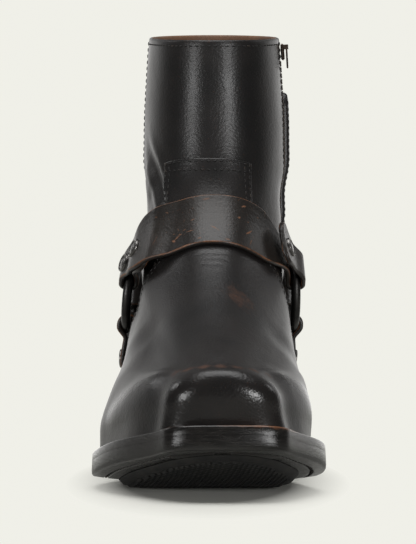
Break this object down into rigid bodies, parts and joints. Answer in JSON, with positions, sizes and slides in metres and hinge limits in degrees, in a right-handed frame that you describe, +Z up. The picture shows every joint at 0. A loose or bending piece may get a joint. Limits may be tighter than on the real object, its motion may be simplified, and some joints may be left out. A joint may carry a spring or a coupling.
{
  "type": "harness boot",
  "caption": "Right ankle boot of worn black leather with a square toe, stacked heel, ring harness straps over the instep and heel, and a zip on the inner side.",
  "frame": {"origin": "middle of the boot's box on the floor it stands on", "axes": "+Z up, -Y towards the toe, +X towards the inner side of the right foot"},
  "size_m": [0.1118, 0.3128, 0.2275],
  "materials": {
    "upper_leather": "worn, semi-gloss",
    "strap_leather": "worn, copper-brown at the edges",
    "sole_leather": "black edge dressing, worn brown at the toe",
    "sole_rubber": "matte, fine crosshatch",
    "footbed": "smooth tan lining leather",
    "zip_tape": "woven tape with a fine chain",
    "zip_metal": "dark plated",
    "ring_metal": "gunmetal, polished at the rims"
  },
  "bodies": {
    "boot": {"upper": "upper_leather", "vamp": "upper_leather", "zip_guard": "upper_leather", "strap_instep": "strap_leather", "strap_heel": "strap_leather", "strap_down_outer": "strap_leather", "strap_down_inner": "strap_leather", "outsole": "sole_leather", "welt": "sole_leather", "heel_lift_1": "sole_leather", "heel_lift_2": "sole_leather", "heel_lift_3": "sole_leather", "heel_lift_4": "sole_leather", "heel_top_lift": "sole_rubber", "forefoot_tread": "sole_rubber", "insole": "footbed", "zip": "zip_tape", "zip_slider": "zip_metal", "ring_outer": "ring_metal", "ring_inner": "ring_metal", "stud_instep_low": "ring_metal", "stud_instep_high": "ring_metal", "stud_snap": "ring_metal", "stud_heel_outer": "ring_metal", "stud_heel_inner": "ring_metal", "stud_down_outer": "ring_metal", "stud_down_inner": "ring_metal"},
    "zip_pull": {"zip_pull": "zip_metal"}
  },
  "joints": [
    {"name": "zip_pull_hinge", "type": "hinge", "parent": "boot", "child": "zip_pull", "pos_m": [0.04029, 0.06344, 0.21774], "axis": [-0.0433, -0.9991, -0.0025], "range_deg": [0, 160]}
  ]
}
